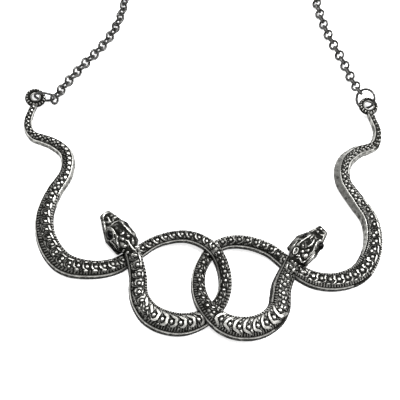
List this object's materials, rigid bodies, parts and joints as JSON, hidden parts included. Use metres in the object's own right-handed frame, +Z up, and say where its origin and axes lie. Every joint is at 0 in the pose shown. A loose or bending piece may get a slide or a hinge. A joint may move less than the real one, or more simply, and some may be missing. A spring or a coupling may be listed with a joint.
{
  "type": "snake necklace",
  "caption": "Necklace of mirrored cast snakes hooked together like links, in antique silver with raised scales and black eyes, on a round-link chain with a plain clasp.",
  "frame": {"origin": "centre of the necklace's outline, on the table that it lies on", "axes": "+X across the necklace, from the left snake to the right one; +Y from the snakes up to the clasp; +Z up, out of the face of the snakes"},
  "size_m": [0.1215, 0.208, 0.0072],
  "materials": {
    "cast_silver": "antique silver, black in the recesses and polished on the raised scales",
    "wire_silver": "polished silver wire with dark tarnish where the links meet",
    "eye_black": "polished black stone"
  },
  "bodies": {
    "root": {"snakes": "cast_silver", "left_eye_outer": "eye_black", "left_eye_inner": "eye_black", "right_eye_outer": "eye_black", "right_eye_inner": "eye_black", "jump_ring_left": "wire_silver", "jump_ring_right": "wire_silver", "chain_left": "wire_silver", "chain_right": "wire_silver", "clasp": "wire_silver", "clasp_ring": "wire_silver", "end_ring": "wire_silver"}
  },
  "joints": []
}
